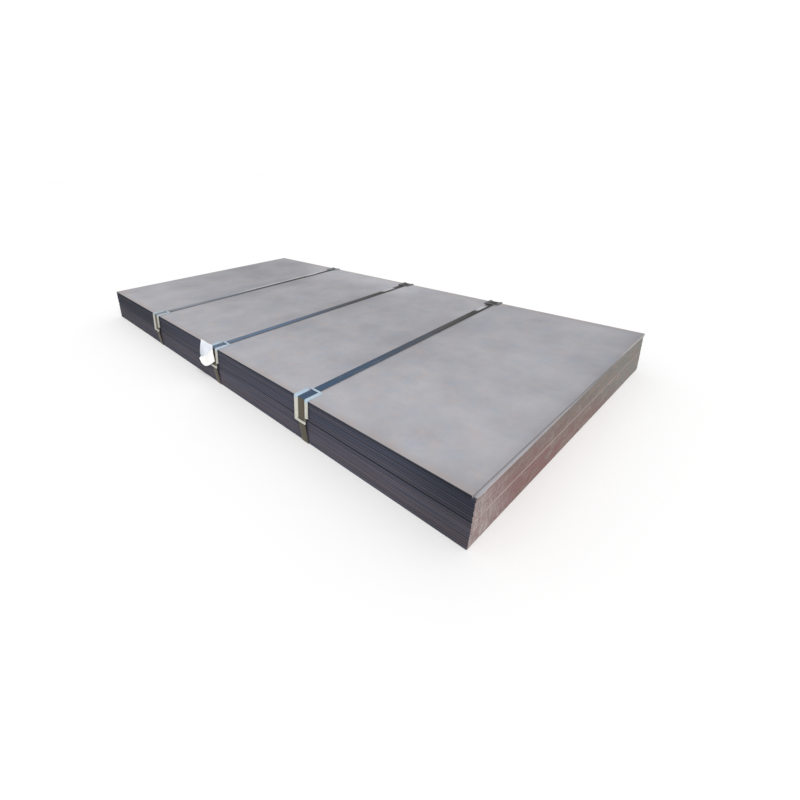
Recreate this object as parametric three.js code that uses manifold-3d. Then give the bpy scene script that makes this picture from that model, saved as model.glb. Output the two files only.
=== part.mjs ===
// A strapped bundle of hot-rolled steel plates, in millimetres, +Z up.
//
// Square-cut plates lie flat on each other, each a little out of line with the next, and one
// of them keeps a slight bow that opens a gap in the stack. Steel straps go right round the
// width. Moulded protectors guard the two top edges under each strap: their hooked bars catch
// the strap, which is slipped in from the open side. A crimped seal joins each strap's ends on
// the far side, and a creased paper tag hangs at the middle strap.
//
// The bundle rests on the undersides of its straps. X runs along the plates, Y across them
// from the near side to the far side, and the origin is the middle of its footprint.

import * as THREE from 'three';
import { mergeVertices } from 'three/addons/utils/BufferGeometryUtils.js';
import Module from 'manifold-3d';

const wasm = await Module();
wasm.setup();

// ---- Driving dimensions ------------------------------------------------------------------

const seatGap = 0.3; // clearance between pieces that touch

const plateLength = 2500;
const plateWidth = 1250;
const plateThickness = 8;
const plateCount = 19;
const plateGap = 0.3; // between two plates that lie on each other
const edgeChamfer = 0.5; // sheared edges, dressed
const endJog = 0.6; // how far a plate's ends stray, each way
const sideJog = 0.8; // how far its long sides stray, each way

const stackEnd = 3.8; // how far the second plate from the top lies to the right
const stackLean = 6.4; // the bottom plate lies this far to the left of that one
const upperEndCut = 9.4; // that one's ends are out of square by this, across their width
const lowerEndCut = -3.5; // and the bottom plate's, the other way
const topSetBack = 2.8; // the top plate, cut square, lies this far to the left of it
const topSkew = THREE.MathUtils.degToRad(0.1); // and is turned by this

const bowedPlate = 10; // counted from the bottom
const bowHeight = 3.2; // opens a gap over it
const bowCrest = 1050; // the crest's distance from the left end
const bowHalfWave = 1200;
const bowFacets = 20;

const strapWidth = 32;
const strapThickness = 0.9;
const leftStrapNear = 673; // the straps' middles at the near and far sides, from the left end
const leftStrapFar = 634;
const middleStrapNear = 1302;
const middleStrapFar = 1288;
const rightStrapNear = 1895;
const rightStrapFar = 1852;
const strapCornerRadius = 1.6; // round the bottom plate's edges, at the strap's middle

const guardMargin = 10; // the edge protector's rim on each side of the strap's channel
const channelClearance = 6; // beside the strap in its channel
const guardTopLeg = 60;
const guardSideLeg = 84;
const guardSplay = THREE.MathUtils.degToRad(4); // the side leg springs off the plates by this
const guardBase = 1.6; // the wall between the strap and the plates
const guardInnerRadius = 0.5;
const guardPlanRadius = 3; // the legs' corners
const entryClearance = 1; // between the strap and the notch beside it
const barWidth = 8;
const barThickness = 2.2;
const barClearance = 0.6; // between the strap and the bar over it
const barReach = 1; // the bar's tip beyond the strap's channel
const barFillet = 5; // where the bar leaves its rim
const barTipRadius = 2; // its other corner is cut off by as much
const topEntryGap = 5; // from the short rim's end to the bar, on the top leg
const sideEntryGap = 16; // and on the side leg

const lapStart = 5; // the strap's inner end, above the floor
const lapLength = 44; // how far the strap's ends overlap
const sealLength = 36;
const sealWall = 1;
const sealSlit = 8; // between the seal's folded flanges
const crimpPitch = 18;
const crimpDepth = 4;
const crimpWidth = 5;

const tagThickness = 0.8;
const tagTopLeft = [-94, 15]; // the tag's corners, from the middle strap and the plates' top
const tagTopRight = [6, 14];
const tagBottomRight = [24, -48];
const tagBottomLeft = [-98, -67];
const tagBottomSag = 31; // how far the bottom edge hangs below a straight one at its lowest
const tagLowest = 0.32; // where that is, as a share of the way from its left end
const tagBelly = [12, 5]; // how far the sheet bellies out along its left and right edges
const tagBellyCrest = 0.75; // as a share of the way down
const tagFold = [0.92, 0.2]; // the fold's left and right ends, as shares of the way down
const tagKick = [9, 3]; // how much further out the flap below the fold turns
const tagCrease = 1.6; // height of the small creases
const tagCreasePitch = 34;
const tagColumns = 12;
const tagRows = 8;
const tagRowsAboveFold = 5;

const arcFacets = 5; // facets of a quarter turn

// ---- Sizes that follow -------------------------------------------------------------------

const leftEnd = -plateLength / 2;
const halfWidth = plateWidth / 2;
const plateFloor = strapThickness + seatGap; // the bottom plate's underside
const plateTop = plateFloor + plateCount * plateThickness + (plateCount - 1) * plateGap + bowHeight;
const guardSeat = plateTop + seatGap; // the protector's inner face over the top plate
const strapOnGuard = guardBase + seatGap + strapThickness / 2; // strap's middle over the faces
const strapOnPlates = seatGap + strapThickness / 2; // that it lies on
const strapStations = [
  { name: 'left', near: leftStrapNear, far: leftStrapFar },
  { name: 'middle', near: middleStrapNear, far: middleStrapFar },
  { name: 'right', near: rightStrapNear, far: rightStrapFar },
];
const channelWidth = strapWidth + 2 * channelClearance;
const guardWidth = channelWidth + 2 * guardMargin;
const slotTop = guardBase + seatGap + strapThickness + barClearance;
const guardHeight = slotTop + barThickness;

// A steady scatter between -1 and 1 that gives each plate its own place.
function scatter(index, stream) {
  const wave = Math.sin(index * 127.1 + stream * 311.7) * 43758.5453;
  return 2 * (wave - Math.floor(wave)) - 1;
}

// ---- Shaping tools -----------------------------------------------------------------------

// Points along a bent line: each corner is [a, b, radius], and its bend is rounded.
function roundedLine(corners) {
  const points = [];
  corners.forEach(([a, b, radius], index) => {
    const corner = new THREE.Vector2(a, b);
    if (!radius) {
      points.push(corner);
      return;
    }
    const before = corners[index - 1];
    const after = corners[index + 1];
    const back = new THREE.Vector2(before[0] - a, before[1] - b).normalize();
    const ahead = new THREE.Vector2(after[0] - a, after[1] - b).normalize();
    const halfAngle = Math.acos(THREE.MathUtils.clamp(back.dot(ahead), -1, 1)) / 2;
    const bisector = back.clone().add(ahead).normalize();
    const centre = corner.clone().addScaledVector(bisector, radius / Math.sin(halfAngle));
    const start = corner.clone().addScaledVector(back, radius / Math.tan(halfAngle));
    const turn = Math.PI - 2 * halfAngle;
    const side = Math.sign(back.y * ahead.x - back.x * ahead.y);
    for (let step = 0; step <= arcFacets; step += 1) {
      points.push(start.clone().rotateAround(centre, (side * turn * step) / arcFacets));
    }
  });
  return points;
}

// The outline of a strip of even thickness whose middle follows the points.
function stripShape(points, thickness) {
  const left = [];
  const right = [];
  points.forEach((point, index) => {
    const before = points[Math.max(index - 1, 0)];
    const after = points[Math.min(index + 1, points.length - 1)];
    const into = point.clone().sub(index ? before : point);
    const out = after.clone().sub(index < points.length - 1 ? point : after);
    into.normalize();
    out.normalize();
    const along = into.clone().add(out).normalize();
    const mitre = Math.max(along.dot(into), along.dot(out));
    const normal = new THREE.Vector2(-along.y, along.x).multiplyScalar(thickness / 2 / mitre);
    left.push(point.clone().add(normal));
    right.push(point.clone().sub(normal));
  });
  return new THREE.Shape([...left, ...right.reverse()]);
}

// A rectangle with its corners rounded, from its low corner to its high one.
function roundedRectangle(low, high, radius) {
  const middle = [(low[0] + high[0]) / 2, low[1]];
  return new THREE.Shape(roundedLine([
    middle,
    [high[0], low[1], radius],
    [high[0], high[1], radius],
    [low[0], high[1], radius],
    [low[0], low[1], radius],
    middle,
  ]).slice(0, -1));
}

function rectangle(low, high) {
  return new THREE.Shape([
    new THREE.Vector2(low[0], low[1]),
    new THREE.Vector2(high[0], low[1]),
    new THREE.Vector2(high[0], high[1]),
    new THREE.Vector2(low[0], high[1]),
  ]);
}

// Extrusions of an outline along each axis, between two stations on it.
function extrude(shape, from, to, bevel = 0) {
  const geometry = new THREE.ExtrudeGeometry(shape, {
    depth: to - from - 2 * bevel,
    bevelEnabled: bevel > 0,
    bevelThickness: bevel,
    bevelSize: bevel,
    bevelOffset: -bevel,
    bevelSegments: 1,
  });
  return geometry.translate(0, 0, from + bevel);
}

// The outline is (y, z) and the extrusion runs along X.
function extrudeAlongX(shape, from, to) {
  return extrude(shape, from, to).rotateX(Math.PI / 2).rotateZ(Math.PI / 2);
}

// The outline is (x, z) and the extrusion runs along Y.
function extrudeAlongY(shape, from, to, bevel = 0) {
  return extrude(shape, -to, -from, bevel).rotateX(Math.PI / 2);
}

// ---- Booleans ----------------------------------------------------------------------------

function toSolid(geometry) {
  const bare = geometry.clone();
  bare.deleteAttribute('normal');
  bare.deleteAttribute('uv');
  const merged = mergeVertices(bare, 1e-4);
  return new wasm.Manifold(new wasm.Mesh({
    numProp: 3,
    vertProperties: new Float32Array(merged.attributes.position.array),
    triVerts: new Uint32Array(merged.index.array),
  }));
}

function toGeometry(solid) {
  const mesh = solid.getMesh();
  const geometry = new THREE.BufferGeometry();
  geometry.setAttribute('position', new THREE.BufferAttribute(mesh.vertProperties, 3));
  geometry.setIndex(new THREE.BufferAttribute(mesh.triVerts, 1));
  geometry.computeVertexNormals();
  return geometry;
}

// ---- Materials ---------------------------------------------------------------------------

const millScale = new THREE.MeshStandardMaterial({ color: 0x8f9094, roughness: 0.5, metalness: 0.6 });
const bluedSteel = new THREE.MeshStandardMaterial({ color: 0x2f3a48, roughness: 0.4, metalness: 0.7 });
const paleMoulding = new THREE.MeshStandardMaterial({ color: 0xe6e6dc, roughness: 0.6, metalness: 0 });
const zincSeal = new THREE.MeshStandardMaterial({ color: 0xa9adb2, roughness: 0.4, metalness: 0.8 });
const paper = new THREE.MeshStandardMaterial({ color: 0xf2f3f5, roughness: 0.85, metalness: 0 });

const bundle = new THREE.Group();

function addPiece(name, geometry, material) {
  const piece = new THREE.Mesh(geometry, material);
  piece.name = name;
  bundle.add(piece);
  return piece;
}

// ---- Plates ------------------------------------------------------------------------------

// Where each plate lies. The shear drifted as it cut them, so that the ends fan out: they reach
// further right at the near side, and more so from the bottom up. Every plate strays a little,
// and the top one, which was cut square, is drawn back and turned.
const plates = [];
for (let number = 1; number <= plateCount; number += 1) {
  const isTop = number === plateCount;
  const below = (plateCount - 1 - number) / (plateCount - 2);
  const lain = stackEnd - stackLean * below + endJog * scatter(number, 1);
  const floor = plateFloor + (number - 1) * (plateThickness + plateGap);
  plates.push({
    name: `plate_${String(number).padStart(2, '0')}`,
    bowed: number === bowedPlate,
    x: isTop ? stackEnd - topSetBack : lain,
    y: isTop ? 0 : sideJog * scatter(number, 2),
    z: floor + (number > bowedPlate ? bowHeight : 0),
    turn: isTop ? -topSkew : 0,
    cut: isTop ? 0 : THREE.MathUtils.lerp(upperEndCut, lowerEndCut, below),
  });
}

// How far the stack reaches over a stretch of its near side (-1) or far side (1).
function sideReach(side, from, to) {
  const reaches = plates.flatMap(({ x, y, turn }) => [from, to].map(
    (place) => halfWidth / Math.cos(turn) + side * (y + (place - x) * Math.tan(turn)),
  ));
  return Math.max(...reaches);
}

// How far the bowed plate stands over its lowest place, at a distance along the plate.
function bowAt(x) {
  const fromCrest = THREE.MathUtils.clamp((x - bowCrest) / bowHalfWave, -1, 1);
  return (bowHeight * (1 + Math.cos(Math.PI * fromCrest))) / 2;
}

// A plate's long side, chamfered at its four corners, with its left end at 0 and its
// underside at height 0 wherever it isn't bowed.
function plateSideShape(bowed) {
  const facets = bowed ? bowFacets : 1;
  const rise = (x) => (bowed ? bowAt(x) : 0);
  const underside = [];
  const topside = [];
  for (let step = 0; step <= facets; step += 1) {
    const x = THREE.MathUtils.lerp(edgeChamfer, plateLength - edgeChamfer, step / facets);
    underside.push(new THREE.Vector2(x, rise(x)));
    topside.push(new THREE.Vector2(x, rise(x) + plateThickness));
  }
  const end = (x) => [
    new THREE.Vector2(x, rise(x) + edgeChamfer),
    new THREE.Vector2(x, rise(x) + plateThickness - edgeChamfer),
  ];
  return new THREE.Shape([
    ...underside,
    ...end(plateLength),
    ...topside.reverse(),
    ...end(0).reverse(),
  ]);
}

const flat = extrudeAlongY(plateSideShape(false), -halfWidth, halfWidth, edgeChamfer);
const bent = extrudeAlongY(plateSideShape(true), -halfWidth, halfWidth, edgeChamfer);

for (const { name, bowed, x, y, z, turn, cut } of plates) {
  const geometry = (bowed ? bent : flat).clone().translate(leftEnd, 0, 0);
  geometry.applyMatrix4(new THREE.Matrix4().makeShear(0, 0, -cut / plateWidth, 0, 0, 0));
  const plate = addPiece(name, geometry, millScale);
  plate.position.set(x, y, z);
  plate.rotation.z = turn;
}

// ---- Straps ------------------------------------------------------------------------------

// The side leg of the near edge protector in (y, z) from its inner corner: a point at a
// height over the leg's inner face and a distance along it.
function sideLegPoint(height, along) {
  return [
    -height * Math.cos(guardSplay) - along * Math.sin(guardSplay),
    height * Math.sin(guardSplay) - along * Math.cos(guardSplay),
  ];
}

// Where, along the side leg, it meets the top leg at that height over their inner faces.
function guardCorner(height) {
  return (height * (Math.sin(guardSplay) - 1)) / Math.cos(guardSplay);
}

// The strap's middle line, in (y, z), between protectors whose inner faces stand at near and
// far: up the far side from its inner end, over both protectors, down, under the bundle, and
// up the far side again over its own start.
const lapEnd = lapStart + lapLength;
const lapOffset = strapThickness + seatGap; // between the two layers' middles
const sealClear = sealWall + seatGap + strapOnPlates; // the inner layer's, over the far face

function strapLine(near, far) {
  const corner = sideLegPoint(strapOnGuard, guardCorner(strapOnGuard));
  const legEnd = sideLegPoint(strapOnGuard, guardSideLeg);
  const topRadius = guardInnerRadius + strapOnGuard;
  const outerLap = far + sealClear + lapOffset;
  return roundedLine([
    [far + sealClear, lapStart],
    [far + sealClear, lapEnd],
    [far - legEnd[0], guardSeat + legEnd[1]],
    [far - corner[0], guardSeat + corner[1], topRadius],
    [corner[0] - near, guardSeat + corner[1], topRadius],
    [legEnd[0] - near, guardSeat + legEnd[1]],
    [-near - strapThickness / 2, strapThickness / 2, strapCornerRadius],
    [outerLap, strapThickness / 2, strapCornerRadius],
    [outerLap, lapEnd],
  ]);
}

// The crimping tool's bites: wedges that cut both edges of the seal and of the strap in it.
const sealOuterHalf = strapWidth / 2 + seatGap + sealWall;
const sealMiddle = lapStart + lapLength / 2;

function crimped(geometry, far) {
  let solid = toSolid(geometry);
  for (const edge of [-1, 1]) {
    for (const row of [-0.5, 0.5]) {
      const height = sealMiddle + row * crimpPitch;
      const mouth = edge * (sealOuterHalf + seatGap);
      const bite = new THREE.Shape([
        new THREE.Vector2(edge * (sealOuterHalf - crimpDepth), height),
        new THREE.Vector2(mouth, height - crimpWidth / 2),
        new THREE.Vector2(mouth, height + crimpWidth / 2),
      ]);
      const behind = far + seatGap / 2;
      const front = far + sealClear + lapOffset + strapOnPlates + sealWall + seatGap;
      solid = solid.subtract(toSolid(extrudeAlongY(bite, behind, front)));
    }
  }
  return toGeometry(solid);
}

// The strap runs a little askew, so its far side is shifted along the plates.
function strapGeometry(near, far, shift) {
  const strip = stripShape(strapLine(near, far), strapThickness);
  const geometry = crimped(extrudeAlongX(strip, -strapWidth / 2, strapWidth / 2), far);
  const { position } = geometry.attributes;
  for (let index = 0; index < position.count; index += 1) {
    if (position.getY(index) > 0) position.setX(index, position.getX(index) + shift);
  }
  return geometry;
}

// ---- Seals -------------------------------------------------------------------------------

// A flat sleeve folded round both layers of the strap, with its flanges behind them.
function sealGeometry(far) {
  const half = strapWidth / 2 + seatGap + sealWall / 2;
  const back = far + seatGap + sealWall / 2;
  const front = far + sealClear + lapOffset + strapOnPlates + sealWall / 2;
  const line = roundedLine([
    [sealSlit / 2, back],
    [half, back, sealWall],
    [half, front, sealWall],
    [-half, front, sealWall],
    [-half, back, sealWall],
    [-sealSlit / 2, back],
  ]);
  const sleeve = stripShape(line, sealWall);
  return crimped(
    extrude(sleeve, sealMiddle - sealLength / 2, sealMiddle + sealLength / 2),
    far,
  );
}

// ---- Edge protectors ---------------------------------------------------------------------

// The protector for the near top edge is an angle, a little over square, with a raised rim
// along each side of the strap's channel and a hooked bar over the channel at the end of each
// leg. Its pieces overrun the outline that trims them.
const guardHalf = guardWidth / 2;
const channelHalf = channelWidth / 2;
const overrun = guardInnerRadius / 2;

// An angle whose faces stand from and to over its inner corner, along a stretch of X. One
// leg lies over the top plate, towards +Y, and the other hangs down the near side.
function angle(from, to, left, right) {
  const middle = (from + to) / 2;
  const line = roundedLine([
    [guardTopLeg + overrun, middle],
    [...sideLegPoint(middle, guardCorner(middle)), guardInnerRadius + middle],
    sideLegPoint(middle, guardSideLeg + overrun),
  ]);
  return toSolid(extrudeAlongX(stripShape(line, to - from), left, right));
}

// A plan in (x, distance from the leg's end), stood on the top leg or on the side leg between
// two heights over the faces that lie on the plates. The two legs look opposite ways.
function onTopLeg(plan, from, to) {
  return toSolid(extrude(plan, from, to).rotateZ(Math.PI).translate(0, guardTopLeg, 0));
}

function onSideLeg(plan, from, to) {
  const standing = extrudeAlongY(plan, -to, -from).translate(0, 0, -guardSideLeg);
  return toSolid(standing.rotateX(-guardSplay));
}

// The bar leaves the rim on the closed side, which is -X in this plan, by a fillet and ends
// in a free tip past the channel.
function barPlan() {
  const tip = channelHalf + barReach;
  const root = barWidth + barFillet;
  return new THREE.Shape(roundedLine([
    [-guardHalf - overrun, root],
    [-channelHalf - overrun, root],
    [-channelHalf, barWidth, barFillet],
    [tip, barWidth, barTipRadius],
    [tip, barTipRadius],
    [tip - barTipRadius - overrun, -overrun],
    [-guardHalf - overrun, -overrun],
  ]));
}

// The rim and the wall are notched beside the bar's tip, up to the strap, so that the strap
// can be slipped in.
function entryPlan(gap) {
  const inner = strapWidth / 2 + entryClearance;
  return rectangle([inner, -2 * overrun], [guardHalf + 2 * overrun, barWidth + gap]);
}

function guardGeometry() {
  const below = -overrun;
  const above = guardHeight + overrun;
  const side = guardHalf + overrun;
  let guard = angle(below, guardBase, -side, side)
    .add(angle(below, above, -side, -channelHalf))
    .add(angle(below, above, channelHalf, side));
  let outline = angle(0, guardHeight, -side, side);
  const legs = [
    { place: onTopLeg, length: guardTopLeg, otherLength: guardSideLeg, gap: topEntryGap },
    { place: onSideLeg, length: guardSideLeg, otherLength: guardTopLeg, gap: sideEntryGap },
  ];
  for (const { place, length, otherLength, gap } of legs) {
    guard = guard
      .subtract(place(entryPlan(gap), 2 * below, above + overrun))
      .add(place(barPlan(), slotTop, above));
    const pastCorner = above + otherLength * Math.sin(guardSplay) + guardPlanRadius;
    const legPlan = roundedRectangle(
      [-guardHalf, 0],
      [guardHalf, length + pastCorner],
      guardPlanRadius,
    );
    outline = outline.intersect(place(legPlan, -otherLength - 2 * overrun, above));
  }
  return toGeometry(guard.intersect(outline));
}

// ---- Strapping: a strap, its seal and its two protectors at each station --------------------

const guard = guardGeometry();
const nearSides = {};

for (const { name, near, far } of strapStations) {
  const nearX = leftEnd + near;
  const farX = leftEnd + far;
  const inward = ((farX - nearX) * guardTopLeg) / 2 / plateWidth;
  const [nearReach, farReach] = [[-1, nearX], [1, farX]].map(
    ([side, x]) => sideReach(side, x - guardHalf, x + guardHalf) + seatGap,
  );
  const strap = strapGeometry(nearReach, farReach, farX - nearX);
  addPiece(`strap_${name}`, strap, bluedSteel).position.x = nearX;
  addPiece(`seal_${name}`, sealGeometry(farReach), zincSeal).position.x = farX;
  const nearGuard = addPiece(`edge_protector_${name}_near`, guard.clone(), paleMoulding);
  nearGuard.position.set(nearX + inward, -nearReach, guardSeat);
  const farGuard = addPiece(`edge_protector_${name}_far`, guard.clone(), paleMoulding);
  farGuard.position.set(farX - inward, farReach, guardSeat);
  farGuard.rotation.z = Math.PI;
  nearSides[name] = { x: nearX, reach: nearReach };
}

// ---- Tag ---------------------------------------------------------------------------------

// A creased paper sheet stuck to the middle protector by its right edge. It hangs down the
// near side, bellies out from it, and turns further out below a fold that crosses it aslant.
// Its mesh is a thin box whose points are moved to their place on the creased sheet, with one
// of its rows along the fold.
function tagGeometry() {
  const sheet = new THREE.BoxGeometry(1, 1, 1, tagColumns, 1, tagRows);
  const { position } = sheet.attributes;
  const mix = THREE.MathUtils.lerp;
  const foldRow = tagRowsAboveFold / tagRows;
  const sagPower = Math.log(0.5) / Math.log(tagLowest); // puts the half wave's crest there
  for (let index = 0; index < position.count; index += 1) {
    const across = position.getX(index) + 0.5;
    const row = 0.5 - position.getZ(index);
    const fold = mix(...tagFold, across);
    const flap = Math.max(row - foldRow, 0) / (1 - foldRow);
    const down = fold * Math.min(row / foldRow, 1) + (1 - fold) * flap;
    const [x, z] = [0, 1].map((axis) => mix(
      mix(tagTopLeft[axis], tagTopRight[axis], across),
      mix(tagBottomLeft[axis], tagBottomRight[axis], across),
      down,
    ));
    const sag = tagBottomSag * Math.sin(Math.PI * across ** sagPower) * down ** 2;
    const belly = Math.sin((Math.PI / 2) * (down / tagBellyCrest));
    const out = mix(...tagBelly, across) * belly + mix(...tagKick, across) * flap;
    const crease = (tagCrease * (1 + Math.sin((x - z) / tagCreasePitch * Math.PI))) / 2;
    const face = (0.5 - position.getY(index)) * tagThickness;
    position.setXYZ(index, x, -(out + crease + face), z - sag);
  }
  return sheet;
}

const tag = addPiece('tag', tagGeometry(), paper);
const { x: tagX, reach: tagReach } = nearSides.middle;
tag.position.set(tagX, -tagReach - guardHeight - seatGap, plateTop);

// ---- Placing -----------------------------------------------------------------------------

const extent = new THREE.Box3().setFromObject(bundle);
const footprint = extent.getCenter(new THREE.Vector3());
bundle.position.set(-footprint.x, -footprint.y, -extent.min.z);

const group = new THREE.Group();
group.add(bundle);

export default group;
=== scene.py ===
"""A strapped bundle of hot-rolled steel plates, dressed over its frame."""

import math

import bmesh
import bpy
from mathutils import Matrix, Vector, noise


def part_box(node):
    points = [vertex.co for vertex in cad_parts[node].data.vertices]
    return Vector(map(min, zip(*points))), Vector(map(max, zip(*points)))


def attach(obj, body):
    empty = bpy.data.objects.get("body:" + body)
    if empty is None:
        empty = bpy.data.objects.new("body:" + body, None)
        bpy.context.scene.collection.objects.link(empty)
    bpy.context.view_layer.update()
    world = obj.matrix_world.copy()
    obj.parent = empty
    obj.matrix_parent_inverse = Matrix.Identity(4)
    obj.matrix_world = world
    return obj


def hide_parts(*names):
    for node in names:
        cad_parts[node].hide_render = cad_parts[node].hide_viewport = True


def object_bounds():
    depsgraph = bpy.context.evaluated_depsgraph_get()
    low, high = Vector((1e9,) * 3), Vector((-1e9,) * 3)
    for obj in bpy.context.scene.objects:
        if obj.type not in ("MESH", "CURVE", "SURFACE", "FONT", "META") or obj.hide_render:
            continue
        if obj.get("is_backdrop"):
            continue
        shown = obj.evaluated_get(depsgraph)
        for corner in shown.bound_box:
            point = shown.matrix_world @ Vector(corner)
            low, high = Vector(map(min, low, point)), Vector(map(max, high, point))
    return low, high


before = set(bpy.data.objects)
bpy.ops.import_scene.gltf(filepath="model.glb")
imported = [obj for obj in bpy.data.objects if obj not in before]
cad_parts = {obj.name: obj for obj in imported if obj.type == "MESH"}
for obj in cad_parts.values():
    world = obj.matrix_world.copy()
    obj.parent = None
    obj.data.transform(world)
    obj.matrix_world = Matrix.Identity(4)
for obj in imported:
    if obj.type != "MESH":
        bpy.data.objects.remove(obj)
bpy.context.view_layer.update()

# ---- Camera ----------------------------------------------------------------------------
# A wide lens stands off the bundle's near right corner, a little under a metre up, and
# looks down along the plates. Its place is taken from the middle of the top plate.

CAMERA_OFFSET = Vector((1.6230, -1.2970, 0.6763))
CAMERA_AZIMUTH = math.radians(47.46)
CAMERA_ELEVATION = math.radians(20.62)
CAMERA_ROLL = math.radians(-2.386)
FOCAL_LENGTH = 0.5361  # in widths of the picture, like the shift
LENS_SHIFT = (0.0593, -0.0915)


def node_box(node):
    """The low and the high corner of a CAD node's box."""
    return tuple(Vector(corner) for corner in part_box(node))


top_plate_low, top_plate_high = node_box("plate_19")

camera_data = bpy.data.cameras.new("camera")
camera_data.sensor_width = 36
camera_data.lens = FOCAL_LENGTH * camera_data.sensor_width
camera_data.shift_x, camera_data.shift_y = LENS_SHIFT
camera = bpy.data.objects.new("camera", camera_data)
bpy.context.collection.objects.link(camera)
camera.location = (top_plate_low + top_plate_high) / 2 + CAMERA_OFFSET
camera.rotation_euler = (
    Matrix.Rotation(CAMERA_AZIMUTH, 3, "Z")
    @ Matrix.Rotation(math.pi / 2 - CAMERA_ELEVATION, 3, "X")
    @ Matrix.Rotation(CAMERA_ROLL, 3, "Z")
).to_euler()
bpy.context.scene.camera = camera

# ---- Plates ----------------------------------------------------------------------------
# Nineteen plates of structural steel, rolled hot, sheared to size and dropped on each other.
# Blue-grey mill scale still covers their faces. The sheared long sides have darkened, and
# the ends, which were cut last and stood in the wet, have gone brown with rust.

PLATE_COUNT = 19
PLATE_SIZE = Vector((2.5, 1.25, 0.008))
BOWED_PLATE = 10
BOW_CREST = 1.05  # from the left end
BOW_HALF_WAVE = 1.2
TOP_SKEW = math.radians(-0.1)
UPPER_END_CUT = 0.0094  # how far out of square the ends of the second plate from the top are
LOWER_END_CUT = -0.0035  # and the bottom plate's
EDGE_ROUNDING = 0.0006
EDGE_WANDER = 0.0004  # how far a sheared edge strays inwards
WANDER_LENGTH = 0.16
STEPS_ALONG = 50  # of the mesh, on a plate's long side
STEPS_ACROSS = 25
STRAP_PLACES = (-0.6, 0.05, 0.62)  # lengthwise, from the plates' middle
X_AXIS, Y_AXIS = 0, 1

DULL_SCALE = (0.35, 0.352, 0.388)
BRIGHT_SCALE = (0.45, 0.448, 0.478)
WARM_SCALE = (0.47, 0.41, 0.4)
COOL_SCALE = (0.37, 0.4, 0.47)
DEEP_SCALE = (0.34, 0.35, 0.4)
SALMON_RUST = (0.42, 0.355, 0.335)
LEDGE_RUST = (0.25, 0.19, 0.17)
GAP_LEDGE_RUST = (0.46, 0.38, 0.36)
GAP_SHADE = (0.07, 0.075, 0.09)

UPPER_SLATE = (0.057, 0.069, 0.106)
LOWER_SLATE = (0.101, 0.093, 0.117)
BROWN_SLATE = (0.11, 0.092, 0.106)
COLD_SLATE = (0.064, 0.077, 0.117)
SHEAR_LINE = (0.13, 0.113, 0.118)
TOP_PLATE_SIDE = (0.036, 0.042, 0.058)

TAN_RUST = (0.172, 0.154, 0.141)
GREY_RUST = (0.185, 0.184, 0.176)
RED_RUST = (0.192, 0.118, 0.114)
PATCH_RUST = (0.215, 0.175, 0.158)
SCRATCHED_RUST = (0.34, 0.305, 0.303)
GAP_LINE = (0.4, 0.33, 0.31)
CUT_LINE = (0.27, 0.235, 0.215)
TOP_PLATE_END = (0.215, 0.215, 0.228)
TOP_PLATE_FAR_END = (0.36, 0.35, 0.335)


class Value:
    """What a shader's socket gives, so that sums on sockets are written as sums."""

    def __init__(self, finish, socket):
        self.finish = finish
        self.socket = socket

    def result(self, operation, first, second):
        return self.finish.node("ShaderNodeMath", {"operation": operation}, {0: first, 1: second})

    def __add__(self, other):
        return self.result("ADD", self, other)

    def __sub__(self, other):
        return self.result("SUBTRACT", self, other)

    def __rsub__(self, other):
        return self.result("SUBTRACT", other, self)

    def __mul__(self, other):
        return self.result("MULTIPLY", self, other)

    __radd__ = __add__
    __rmul__ = __mul__

    def rise(self, low, high):
        """0 where the value is at low, 1 where it is at high, and smooth in between."""
        return self.finish.node(
            "ShaderNodeMapRange",
            {"interpolation_type": "SMOOTHSTEP"},
            {"Value": self, "From Min": low, "From Max": high},
        )


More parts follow.
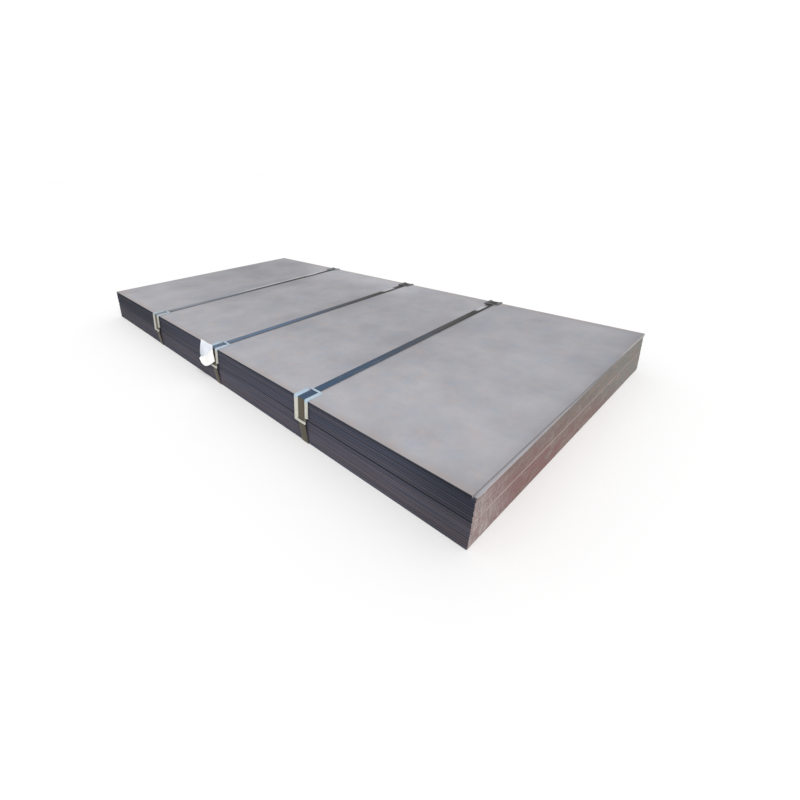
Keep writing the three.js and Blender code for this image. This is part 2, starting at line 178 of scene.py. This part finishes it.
class Finish:
    """A surface's material, or the studio's light, whose nodes are all made by node()."""

    def __init__(self, owner):
        owner.use_nodes = True
        self.tree = owner.node_tree
        self.place = self.node("ShaderNodeTexCoord", output="Object")

    def node(self, kind, settings=None, sockets=None, output=0):
        made = self.tree.nodes.new(kind)
        for name, setting in (settings or {}).items():
            setattr(made, name, setting)
        identifiers = {socket.identifier: socket for socket in made.inputs}
        for name, source in (sockets or {}).items():
            self.feed(identifiers.get(name) or made.inputs[name], source)
        outputs = {socket.identifier: socket for socket in made.outputs}
        return Value(self, outputs.get(output) or made.outputs[output])

    def feed(self, socket, source):
        if isinstance(source, Value):
            self.tree.links.new(source.socket, socket)
        elif socket.type == "RGBA":
            socket.default_value = (*source, 1)
        else:
            socket.default_value = source

    def cloud(self, size, stretch=(1, 1, 1), detail=3, seed=0):
        """Noise whose features measure about size, drawn out by stretch along each axis."""
        scale = [1 / (size * share) for share in stretch]
        spread = self.node("ShaderNodeMapping", {}, {"Vector": self.place, "Scale": scale})
        return self.node(
            "ShaderNodeTexNoise",
            {"noise_dimensions": "4D"},
            {"Vector": spread, "W": seed, "Scale": 1, "Detail": detail, "Roughness": 0.55},
        )

    def blend(self, share, first, second):
        """The first colour where the share is 0, and the second where it is 1."""
        return self.node(
            "ShaderNodeMix",
            {"data_type": "RGBA"},
            {"Factor_Float": share, "A_Color": first, "B_Color": second},
            "Result_Color",
        )

    def shade(self, colour, amount):
        """The colour, made lighter or darker by an amount that changes over the surface."""
        grey = self.node("ShaderNodeCombineXYZ", {}, {axis: amount for axis in "XYZ"})
        return self.node(
            "ShaderNodeVectorMath", {"operation": "MULTIPLY"}, {0: colour, 1: grey}
        )

    def parts(self, vector):
        """A vector's three parts, each as a value."""
        spread = self.node("ShaderNodeSeparateXYZ", {}, {"Vector": vector}).socket.node
        return [Value(self, spread.outputs[axis]) for axis in "XYZ"]

    def attribute(self, name):
        """A mark that the piece's mesh carries at each point."""
        return self.node("ShaderNodeAttribute", {"attribute_name": name}, {}, "Fac")

    def surface(self, **values):
        """Feeds the shader: what changes is linked, and what doesn't is set on its socket."""
        shader = self.tree.nodes["Principled BSDF"]
        for name, source in values.items():
            title = name.replace("_", " ").title().replace("Ior", "IOR")
            self.feed(shader.inputs[title], source)

    def relief(self, height, depth):
        """The normal of a surface whose fine relief is so deep in metres."""
        return self.node("ShaderNodeBump", {}, {"Height": height, "Distance": depth})


class SteelFinish(Finish):
    """The plates' finish, which follows the marks that each plate's mesh carries."""

    def __init__(self, owner):
        super().__init__(owner)
        self.from_side = self.attribute("from_side")
        self.from_end = self.attribute("from_end")
        self.level = self.attribute("level")
        self.number = self.attribute("plate_number")
        self.on_top_plate = self.number_from(PLATE_COUNT)
        self.on_second_or_top = self.number_from(PLATE_COUNT - 1)
        self.under_gap = self.number_from(BOWED_PLATE) * (1 - self.number_from(BOWED_PLATE + 1))
        self.along, self.across, self.up = self.parts(self.place)
        self.clouds = self.cloud(0.16, (1, 1, 1), 4, self.number)
        self.mottling = self.cloud(0.012, (1, 1, 1), 3, self.number)
        self.grain = self.cloud(0.003, (1, 1, 1), 2)
        self.shear_lines = self.cloud(0.0016, (150, 1, 1), 3, self.number)
        self.cut_lines = self.cloud(0.0018, (1, 60, 1), 3, self.number)

    def number_from(self, first):
        """1 on the first of these plates and on all those above it, 0 below."""
        return self.number.rise(first - 0.6, first - 0.4)

    def face_tone(self):
        """How light the scale is: dulled down the middle and beside the straps, towards the
        ends and at the near right corner, and bright along the far side."""
        rolling = self.cloud(0.01, (50, 1, 1), 2, self.number)
        tone = 0.81 + self.mottling * 0.08 + self.grain * 0.25 + rolling * 0.05
        tone = tone + self.along * 0.03 - self.across * 0.13
        beside = 0
        for strap_place in STRAP_PLACES:
            apart = self.along - strap_place
            beside = beside + (apart * apart).rise(0.02, 0.0)
        middle = self.across.rise(-0.5, -0.2) * self.across.rise(0.42, 0.2)
        middle = middle * self.along.rise(1.0, 0.5)
        far_left = self.across.rise(-0.1, 0.15) * self.across.rise(0.62, 0.5)
        far_left = far_left * self.along.rise(-0.6, -0.85)
        far_side = self.across.rise(0.35, 0.6) * self.along.rise(0.45, 0.05)
        far_side = far_side * self.along.rise(-0.95, -0.6)
        tone = tone - middle * (0.06 + beside * 0.09) - far_left * 0.08 + far_side * 0.22
        tone = tone - self.from_end.rise(0.16, 0.0) * self.along.rise(-0.5, 0.5) * 0.09
        tone = tone - self.from_side.rise(0.06, 0.0) * self.along.rise(0.7, 1.1) * 0.1
        tone = tone - self.from_end.rise(0.03, 0.0) * self.on_top_plate * 0.08
        # The second plate shows as a ledge past the top plate's end, lightest near by.
        ledge = self.on_second_or_top * (1 - self.on_top_plate) * self.from_end.rise(0.04, 0.02)
        return tone + ledge * (0.12 - self.across.rise(-0.2, 0.3) * 0.35)

    def face_colour(self):
        """Mill scale in soft grey clouds over a fine grain, with warm and cool patches."""
        drift = self.cloud(0.5, (1, 1, 1), 2, self.number + 20)
        warmth = self.cloud(0.045, (1, 1, 1), 3, self.number + 60)
        chill = self.cloud(0.06, (1, 1, 1), 3, self.number + 80)
        colour = self.blend(self.clouds.rise(0.25, 0.75), DULL_SCALE, BRIGHT_SCALE)
        colour = self.blend(warmth.rise(0.45, 0.75) * 0.5, colour, WARM_SCALE)
        colour = self.blend(chill.rise(0.45, 0.75) * 0.5, colour, COOL_SCALE)
        colour = self.blend(drift.rise(0.5, 0.75) * 0.3, colour, DEEP_SCALE)
        return self.shade(colour, self.face_tone())

    def edged_face_colour(self):
        """The scale with a faint salmon band of rust along the long sides and in the left near
        corner. Below the second plate the ledges at the ends are rusty too, and the scale
        between two plates is darkened at the sides by painted shade in the gap."""
        creep = self.cloud(0.07, (1, 1, 1), 3, self.number + 40)
        rust = self.from_side.rise(0.032, 0.004) * (0.5 + creep.rise(0.25, 0.6) * 0.5)
        left_corner = self.along.rise(-1.12, -1.2) * self.across.rise(-0.5, -0.58)
        rust = rust * 0.5 + left_corner * (1 - rust * 0.5) * 0.4
        colour = self.blend(rust, self.face_colour(), SALMON_RUST)
        ledge_colour = self.blend(self.under_gap, LEDGE_RUST, GAP_LEDGE_RUST)
        ledge = self.from_end.rise(0.02, 0.008) * (1 - self.on_second_or_top)
        colour = self.blend(ledge, colour, ledge_colour)
        # Painted shade on the scale inside the gap between plates, at the sides.
        gap_shade = self.from_side.rise(0.008, 0.005) * (1 - self.on_top_plate)
        return self.blend(gap_shade, colour, GAP_SHADE)

    def side_colour(self):
        """The long sides: slate, browner in the lower plates, darkest on the top plate and
        towards both ends, with fine lines along the shear, painted shade under each plate
        and a painted highlight along its top edge."""
        bands = self.cloud(0.004, (100, 1, 1), 2, self.number)
        patches = self.cloud(0.35, (2, 1, 1), 2, self.number * 3)
        cold = self.cloud(0.25, (2, 1, 1), 2, self.number * 5)
        lower = self.up.rise(0.11, 0.06)
        colour = self.blend(lower, UPPER_SLATE, LOWER_SLATE)
        colour = self.blend(patches.rise(0.35, 0.6) * 0.5, colour, BROWN_SLATE)
        colour = self.blend(cold.rise(0.4, 0.65) * 0.55, colour, COLD_SLATE)
        colour = self.blend(self.shear_lines.rise(0.5, 0.75) * 0.5, colour, SHEAR_LINE)
        colour = self.blend(self.on_top_plate * 0.8, colour, TOP_PLATE_SIDE)
        # Painted shade at the foot of each plate and a painted highlight along its top edge.
        painted_seam_shading = 1.02 - self.level.rise(0.35, 0.05) * 0.45 + self.level.rise(0.6, 0.9) * 0.25
        shear_marks = 0.62 + self.shear_lines * 0.45 + bands.rise(0.35, 0.65) * 0.33
        colour = self.shade(colour, shear_marks * painted_seam_shading)
        dulled = 0.13 + self.along.rise(0.97, 1.25) * 0.38 + self.along.rise(0.0, -0.8) * 0.36
        return self.shade(colour, 1 - dulled * (1 - lower * 0.45))

    def end_colour(self):
        """The ends: rust red towards the near corner and grey brown at the far one, scratched
        light at the near corner, with a pale line where the bowed plate leaves a gap over it."""
        patches = self.cloud(0.05, (1, 1.5, 0.8), 4, self.number * 0.1)
        speckle = self.cloud(0.012, (1, 1, 1), 3)
        scratches = self.cloud(0.005, (1, 1, 10), 3)
        red = (self.across + self.up * 4 + patches * 0.7).rise(1.0, 0.2)
        colour = self.blend(self.across.rise(0.0, 0.55), TAN_RUST, GREY_RUST)
        colour = self.blend(red, colour, RED_RUST)
        patchy = patches.rise(0.48, 0.6) * (0.7 - self.across.rise(-0.2, -0.5) * 0.35)
        colour = self.blend(patchy, colour, PATCH_RUST)
        near_corner = (self.across + self.up * 0.5).rise(-0.365, -0.55)
        scratched = near_corner * (0.25 + scratches.rise(0.45, 0.6) * 0.6)
        colour = self.blend(scratched, colour, SCRATCHED_RUST)
        colour = self.shade(colour, 0.65 + speckle * 0.7)
        pale = 0.3 + patches.rise(0.35, 0.6) * 0.3 + self.across.rise(0.2, -0.4) * 0.3
        gap_line = self.under_gap * self.level.rise(0.7, 0.85) * self.across.rise(0.5, 0.2)
        colour = self.blend(gap_line * pale, colour, GAP_LINE)
        colour = self.blend(self.cut_lines.rise(0.6, 0.75) * 0.5, colour, CUT_LINE)
        top_end = self.blend(self.across.rise(0.25, 0.45), TOP_PLATE_END, TOP_PLATE_FAR_END)
        colour = self.blend(self.on_top_plate * 0.8, colour, top_end)
        # Painted shade at the foot of each plate's end, where it meets the plate below.
        painted_seam_shading = 1 - self.level.rise(0.25, 0.02) * 0.25
        return self.shade(colour, (0.7 + self.cut_lines * 0.6) * painted_seam_shading)


def steel_finish():
    steel = bpy.data.materials.new("mill_scale_steel")
    finish = SteelFinish(steel)
    normal = finish.node("ShaderNodeNewGeometry", output="True Normal")
    # How much a surface faces an end, a long side, and up or down.
    lengthwise, sideways, upright = (part * part for part in finish.parts(normal))
    colour = finish.blend(
        lengthwise.rise(0.1, 0.4), finish.edged_face_colour(), finish.end_colour()
    )
    colour = finish.blend(sideways.rise(0.03, 0.15), colour, finish.side_colour())
    cut_marks = (finish.shear_lines + finish.cut_lines) * (1 - upright)
    height = finish.mottling * 0.3 + finish.grain * 0.25 + cut_marks
    finish.surface(
        base_color=colour,
        roughness=0.5 + finish.clouds * 0.12 + (1 - upright) * 0.4,
        metallic=upright * 0.2,
        specular_ior_level=0.15,
        normal=finish.relief(height, 0.00025),
    )
    return steel


def edges_along(mesh, axis):
    """The edges that lie along an axis."""
    return [
        edge
        for edge in mesh.edges
        if abs((edge.verts[0].co - edge.verts[1].co).normalized()[axis]) > 0.9
    ]


def finished_piece(name, mesh, material, node):
    """A new piece from a bmesh, riding on the body in place of its CAD node."""
    data = bpy.data.meshes.new(name)
    mesh.to_mesh(data)
    mesh.free()
    data.materials.append(material)
    piece = bpy.data.objects.new(name, data)
    bpy.context.collection.objects.link(piece)
    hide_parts(node)
    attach(piece, "root")
    return piece


def inset(vert, axis):
    """How far inwards a point lies from its plate's nearest edge across an axis."""
    return PLATE_SIZE[axis] / 2 - abs(vert.co[axis])


def cut_plate():
    """A plate of the full size, divided into steps, with its edges rounded."""
    plate = bmesh.new()
    bmesh.ops.create_cube(plate, size=1)
    bmesh.ops.scale(plate, vec=PLATE_SIZE, verts=plate.verts)
    for axis, steps in ((X_AXIS, STEPS_ALONG), (Y_AXIS, STEPS_ACROSS)):
        bmesh.ops.subdivide_edges(
            plate, edges=edges_along(plate, axis), cuts=steps - 1, use_grid_fill=True
        )
    rim = [edge for edge in plate.edges if edge.calc_face_angle() > 1]
    bmesh.ops.bevel(
        plate,
        geom=rim,
        offset=EDGE_ROUNDING,
        offset_type="OFFSET",
        affect="EDGES",
        segments=2,
        profile=0.5,
        material=-1,
    )
    return plate


def mark_places(plate, number):
    """Marks each point with its place in the plate and with the plate's number."""
    marks = {
        name: plate.verts.layers.float.new(name)
        for name in ("from_side", "from_end", "level", "plate_number")
    }
    for vert in plate.verts:
        vert[marks["from_side"]] = inset(vert, Y_AXIS)
        vert[marks["from_end"]] = inset(vert, X_AXIS)
        vert[marks["level"]] = vert.co.z / PLATE_SIZE.z + 0.5
        vert[marks["plate_number"]] = number


def wander_edges(plate, number):
    """Lets the sheared edges stray inwards a little, each plate's in its own way."""
    for vert in plate.verts:
        for axis in (X_AXIS, Y_AXIS):
            if inset(vert, axis) < 2 * EDGE_ROUNDING:
                side = math.copysign(1, vert.co[axis])
                place = Vector((vert.co[1 - axis] / WANDER_LENGTH, side, number))
                vert.co[axis] -= side * EDGE_WANDER * (1 + noise.noise(place)) / 2


def bow_plate(plate, height):
    """Bends a plate into one long wave, as high as its CAD node leaves room for."""
    for vert in plate.verts:
        from_left_end = vert.co.x + PLATE_SIZE.x / 2
        share = max(-1, min((from_left_end - BOW_CREST) / BOW_HALF_WAVE, 1))
        vert.co.z += height / 2 * math.cos(math.pi * share)


def skew_ends(plate, cut):
    """Leaves the ends out of square, by the cut from one corner to the next."""
    for vert in plate.verts:
        vert.co.x -= cut * vert.co.y / PLATE_SIZE.y


steel = steel_finish()
for number in range(1, PLATE_COUNT + 1):
    node = f"plate_{number:02d}"
    low, high = node_box(node)
    plate = cut_plate()
    mark_places(plate, number)
    wander_edges(plate, number)
    if number == BOWED_PLATE:
        bow_plate(plate, high.z - low.z - PLATE_SIZE.z)
    if number == PLATE_COUNT:
        bmesh.ops.rotate(plate, verts=plate.verts, matrix=Matrix.Rotation(TOP_SKEW, 3, "Z"))
    else:
        share = (number - 1) / (PLATE_COUNT - 2)
        skew_ends(plate, LOWER_END_CUT + (UPPER_END_CUT - LOWER_END_CUT) * share)
    bmesh.ops.translate(plate, vec=(low + high) / 2, verts=plate.verts)
    finished_piece(f"rolled_plate_{number:02d}", plate, steel, node)

# ---- Edge protectors -------------------------------------------------------------------
# Angles moulded in pale plastic, one over each top edge under each strap. Two rims keep the
# strap in its channel, and a hooked bar at the end of each leg holds it there until it is
# drawn tight. Handling has left them grey, most at the left, and the far ones are darker and
# brown.

MOULDED_ROUNDING = 0.00045
SHARP_ANGLE = math.radians(35)
MERGE_DISTANCE = 1e-5
TOP_LEG_SKY_REFLECTION = (0.43, 0.54, 0.65)
SIDE_LEG_WARM_LIGHT = (0.58, 0.57, 0.51)
GRIME = (0.3, 0.31, 0.28)
FAR_DARK_BROWN = (0.07, 0.052, 0.045)


def merged_copy(node):
    """A copy of a CAD node's mesh with its points merged and its flat faces whole."""
    copy = bmesh.new()
    copy.from_mesh(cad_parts[node].data)
    bmesh.ops.remove_doubles(copy, verts=copy.verts, dist=MERGE_DISTANCE)
    bmesh.ops.dissolve_limit(
        copy, angle_limit=math.radians(0.5), verts=copy.verts, edges=copy.edges
    )
    return copy


def rounded(piece, radius):
    """Rounds the sharp edges of a piece and shades what lies between them smooth."""
    piece.data.shade_smooth()
    bevel = piece.modifiers.new("rounded_edges", "BEVEL")
    bevel.width = radius
    bevel.segments = 2
    bevel.limit_method = "ANGLE"
    bevel.angle_limit = SHARP_ANGLE
    bevel.harden_normals = True


def moulded_finish():
    plastic = bpy.data.materials.new("pale_moulding")
    finish = Finish(plastic)
    dirt = finish.cloud(0.02, (1, 1, 1), 4)
    smudges = finish.cloud(0.006, (1, 1, 3), 3)
    grain = finish.cloud(0.0008)
    along, across, up = finish.parts(finish.place)
    on_top = up.rise(top_plate_high.z - 0.01, top_plate_high.z + 0.001)
    # One pale plastic, painted with a blue sky reflection on the top legs and a warm light on the
    # side legs.
    colour = finish.blend(on_top, SIDE_LEG_WARM_LIGHT, TOP_LEG_SKY_REFLECTION)
    handled = along.rise(0.4, -0.6) * 0.35
    grimy = dirt.rise(0.45, 0.75) * 0.4 + smudges.rise(0.6, 0.75) * 0.25 + handled
    colour = finish.blend(grimy, colour, GRIME)
    # The far ones are darkened towards a dark brown, less so at the left.
    far_and_darker = across.rise(-0.1, 0.1) * (0.5 + along.rise(-0.5, -0.2) * 0.35)
    colour = finish.blend(far_and_darker, colour, FAR_DARK_BROWN)
    finish.surface(
        base_color=colour,
        roughness=0.45 + dirt * 0.2,
        normal=finish.relief(grain * 0.4 + dirt, 0.0002),
    )
    return plastic


moulding = moulded_finish()
for strap_name in ("left", "middle", "right"):
    for side in ("near", "far"):
        node = f"edge_protector_{strap_name}_{side}"
        protector = finished_piece(
            f"moulded_protector_{strap_name}_{side}",
            merged_copy(node),
            moulding,
            node,
        )
        rounded(protector, MOULDED_ROUNDING)

# ---- Straps ----------------------------------------------------------------------------
# Blued and waxed steel straps, rolled flat with their edges dressed, tensioned round the
# bundle. Their top runs have a cold sheen, scuffed grey where they were dragged. Each has a
# painted highlight, a glint, where it climbs its far protector, the left one also all along its
# left edge.

STRAP_ROUNDING = 0.0001
STRAP_WIDTH = 0.032
CLIMB_PLACE = 0.455  # how far over from the bundle's middle line a strap climbs
CLIMB_SLANT = 0.07  # and how much further over, for each metre to the right
NEAR_BLUE = (0.04, 0.08, 0.145)
FAR_BLACK = (0.055, 0.052, 0.055)
WORN_BLUE = (0.17, 0.25, 0.38)
WORN_GREY = (0.24, 0.26, 0.3)
WAX_PATCH = (0.075, 0.09, 0.115)
FAR_END_DARK = (0.028, 0.024, 0.022)
CLIMB_GLINT = (0.5, 0.52, 0.57)
LEFT_EDGE_GLINT = (0.63, 0.64, 0.68)
SIDE_RUN_BROWN = (0.09, 0.078, 0.053)
SCUFF_GREY = (0.16, 0.17, 0.18)


def strap_finish():
    blued = bpy.data.materials.new("blued_steel")
    finish = Finish(blued)
    upright = finish.parts(finish.node("ShaderNodeNewGeometry", output="True Normal"))[2]
    on_top = (upright * upright).rise(0.3, 0.7)
    along, across, _ = finish.parts(finish.place)
    off_middle = finish.attribute("off_middle")
    streaks = finish.cloud(0.0025, (1, 60, 60), 3)
    scuffs = finish.cloud(0.03, (0.4, 4, 4), 4)
    patches = finish.cloud(0.12, (1, 1, 1), 3)

    # The top runs are worn light towards the near left, waxy in patches and darker at their
    # far ends, where a painted highlight lightens their left half and painted shade darkens their
    # right.
    worn = across.rise(0.3, -0.6) * along.rise(0.45, -0.3)
    worn_colour = finish.blend(along.rise(-0.2, -0.5), WORN_BLUE, WORN_GREY)
    colour = finish.blend(across.rise(-0.5, 0.25), NEAR_BLUE, FAR_BLACK)
    colour = finish.blend(worn, colour, worn_colour)
    colour = finish.blend(patches.rise(0.4, 0.7) * 0.5, colour, WAX_PATCH)
    far_end = across.rise(0.2, 0.45) * (0.4 + along.rise(-0.5, -0.2) * 0.55)
    colour = finish.blend(far_end, colour, FAR_END_DARK)
    # Painted highlight on the left half of each run's far part, and painted shade on its right
    # half.
    colour = finish.shade(colour, 1 - off_middle * across.rise(0.0, 0.3) * 0.4)

    # A painted highlight, a glint, where they climb, and on the left one along its left edge.
    climb = across - along * CLIMB_SLANT - CLIMB_PLACE
    climb_glint = (climb * climb).rise(0.0035, 0.0005) * off_middle.rise(0.35, 0.0)
    left_edge_glint = across.rise(-0.35, 0.0) * across.rise(0.6, 0.5) * off_middle.rise(-0.15, -0.45)
    colour = finish.blend(climb_glint, colour, CLIMB_GLINT)
    colour = finish.blend(left_edge_glint * along.rise(-0.4, -0.5), colour, LEFT_EDGE_GLINT)

    # The runs up the sides are brown, and all of a strap is scuffed and streaked.
    colour = finish.blend(on_top, SIDE_RUN_BROWN, colour)
    colour = finish.blend(scuffs.rise(0.55, 0.75) * 0.5, colour, SCUFF_GREY)
    colour = finish.shade(colour, 0.6 + streaks * 0.8)
    finish.surface(
        base_color=colour,
        roughness=0.36 + scuffs * 0.25,
        metallic=0.1,
        specular_ior_level=0.25,
        normal=finish.relief(streaks, 0.00006),
    )
    return blued


def mark_middle(strip, low, high):
    """Marks how far each point lies from the askew strap's middle line, in half widths."""
    mark = strip.verts.layers.float.new("off_middle")
    askew = high.x - low.x - STRAP_WIDTH
    for vert in strip.verts:
        middle = high.x - STRAP_WIDTH / 2 - askew * (vert.co.y - low.y) / (high.y - low.y)
        vert[mark] = 2 * (vert.co.x - middle) / STRAP_WIDTH


blued_steel = strap_finish()
for strap_name in ("left", "middle", "right"):
    node = f"strap_{strap_name}"
    strip = merged_copy(node)
    mark_middle(strip, *node_box(node))
    strap = finished_piece(f"tensioned_strap_{strap_name}", strip, blued_steel, node)
    rounded(strap, STRAP_ROUNDING)

# ---- Seals -----------------------------------------------------------------------------
# Galvanised sleeves, one on each strap, folded round its lapped ends on the far side and
# crimped. The zinc shows a fine spangle and has dulled in spots.

SEAL_ROUNDING = 0.00015
ZINC_DARK = (0.42, 0.43, 0.45)
ZINC_LIGHT = (0.58, 0.59, 0.6)
ZINC_DULLED = (0.3, 0.28, 0.26)


def seal_finish():
    zinc = bpy.data.materials.new("zinc_seal")
    finish = Finish(zinc)
    spangle = finish.cloud(0.004, (1, 1, 1), 2)
    dulling = finish.cloud(0.015, (1, 1, 1), 3)
    colour = finish.blend(spangle, ZINC_DARK, ZINC_LIGHT)
    colour = finish.blend(dulling.rise(0.5, 0.75) * 0.6, colour, ZINC_DULLED)
    finish.surface(
        base_color=colour,
        roughness=0.36 + dulling * 0.25,
        metallic=0.8,
        normal=finish.relief(spangle, 0.00005),
    )
    return zinc


zinc = seal_finish()
for strap_name in ("left", "middle", "right"):
    node = f"seal_{strap_name}"
    seal = finished_piece(f"crimped_seal_{strap_name}", merged_copy(node), zinc, node)
    rounded(seal, SEAL_ROUNDING)

# ---- Tag -------------------------------------------------------------------------------
# A blank white paper label, stuck to the middle protector by its right edge. It has been
# creased by handling. Its lower flap, which turns out, is painted white and the rest a cool
# blue-grey: painted light and shade, as the flap faces up into the light.

CRUMPLE = 0.0012
CRUMPLE_LENGTH = 0.03
FOLD_START = (-0.1217, -0.0754)  # the fold's left end, from the tag's right and top ends
FOLD_END = (-0.0144, -0.0134)
FOLD_SAG = 0.008
FOLD_SOFTNESS = 0.002
COOL_SHADED_PAPER = (0.84, 0.88, 0.94)
SHADED_PAPER = (0.55, 0.6, 0.67)
LIT_FLAP_WHITE = (0.97, 0.97, 0.96)

tag_low, tag_high = node_box("tag")


def paper_finish():
    paper = bpy.data.materials.new("white_paper")
    finish = Finish(paper)
    fibres = finish.cloud(0.0008, (1, 1, 2), 3)
    soiling = finish.cloud(0.025, (1, 1, 1), 4)
    flap = finish.attribute("flap")
    along, _, up = finish.parts(finish.place)
    shaded = along.rise(tag_high.x - 0.05, tag_low.x) * up.rise(tag_high.z, tag_high.z - 0.06)
    dimmed = shaded * 0.75 + soiling.rise(0.4, 0.75) * 0.3
    colour = finish.blend(dimmed, COOL_SHADED_PAPER, SHADED_PAPER)
    # The flap painted lighter than the cool rest: painted light and shade, as it turns up into
    # the light.
    colour = finish.blend(flap, colour, LIT_FLAP_WHITE)
    finish.surface(
        base_color=colour,
        roughness=0.7 + soiling * 0.2,
        normal=finish.relief(fibres, 0.00008),
    )
    return paper


tag_mesh = bmesh.new()
tag_mesh.from_mesh(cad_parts["tag"].data)
bmesh.ops.remove_doubles(tag_mesh, verts=tag_mesh.verts, dist=MERGE_DISTANCE)
bmesh.ops.subdivide_edges(tag_mesh, edges=tag_mesh.edges, cuts=2, use_grid_fill=True)
flap_layer = tag_mesh.verts.layers.float.new("flap")
# The fold sags a little between its ends, and what lies below it is the flap.
for vert in tag_mesh.verts:
    share = (vert.co.x - tag_high.x - FOLD_START[0]) / (FOLD_END[0] - FOLD_START[0])
    fold = FOLD_START[1] + (FOLD_END[1] - FOLD_START[1]) * share
    fold -= 4 * FOLD_SAG * share * (1 - share)
    below = (tag_high.z + fold - vert.co.z) / FOLD_SOFTNESS
    vert[flap_layer] = max(0, min(below, 1))
    place = Vector((vert.co.x, 0, vert.co.z)) / CRUMPLE_LENGTH
    vert.co.y -= CRUMPLE * abs(noise.noise(place))
finished_piece("creased_tag", tag_mesh, paper_finish(), "tag")

# ---- Studio ----------------------------------------------------------------------------
# A wide pale floor under even light, with a soft key from the right that is a little warm.
# The camera sees the sky as bright as the floor, so that the horizon doesn't show.

SKY_LIGHT = 0.6
SEEN_SKY = 1.1
KEY_STRENGTH = 0.72 * math.pi
KEY_DIRECTION = Vector((0.70, -0.25, 0.67))
KEY_SOFTNESS = math.radians(25)
KEY_COLOUR = (1, 0.985, 0.96)
FLOOR_COLOUR = (0.95, 0.955, 0.965)
FLOOR_HALF_SIDE = 200

bpy.context.scene.view_settings.view_transform = "Standard"

world = bpy.data.worlds.new("studio")
bpy.context.scene.world = world
sky = Finish(world)
seen = sky.node("ShaderNodeLightPath", output="Is Camera Ray")
background = world.node_tree.nodes["Background"].inputs
sky.feed(background["Color"], (1, 1, 1))
sky.feed(background["Strength"], SKY_LIGHT + seen * (SEEN_SKY - SKY_LIGHT))

key_data = bpy.data.lights.new("key", "SUN")
key_data.energy = KEY_STRENGTH
key_data.angle = KEY_SOFTNESS
key_data.color = KEY_COLOUR
key = bpy.data.objects.new("key", key_data)
bpy.context.collection.objects.link(key)
key.rotation_euler = KEY_DIRECTION.to_track_quat("Z", "Y").to_euler()

floor_mesh = bmesh.new()
bmesh.ops.create_grid(floor_mesh, x_segments=1, y_segments=1, size=FLOOR_HALF_SIDE)
floor_data = bpy.data.meshes.new("floor")
floor_mesh.to_mesh(floor_data)
floor_mesh.free()
floor = bpy.data.objects.new("floor", floor_data)
bpy.context.collection.objects.link(floor)
pale = bpy.data.materials.new("pale_floor")
Finish(pale).surface(base_color=FLOOR_COLOUR, roughness=0.9)
floor_data.materials.append(pale)
floor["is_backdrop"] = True

# ---- Size and finish -------------------------------------------------------------------
# The dressed bundle's box is found.

low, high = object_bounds()
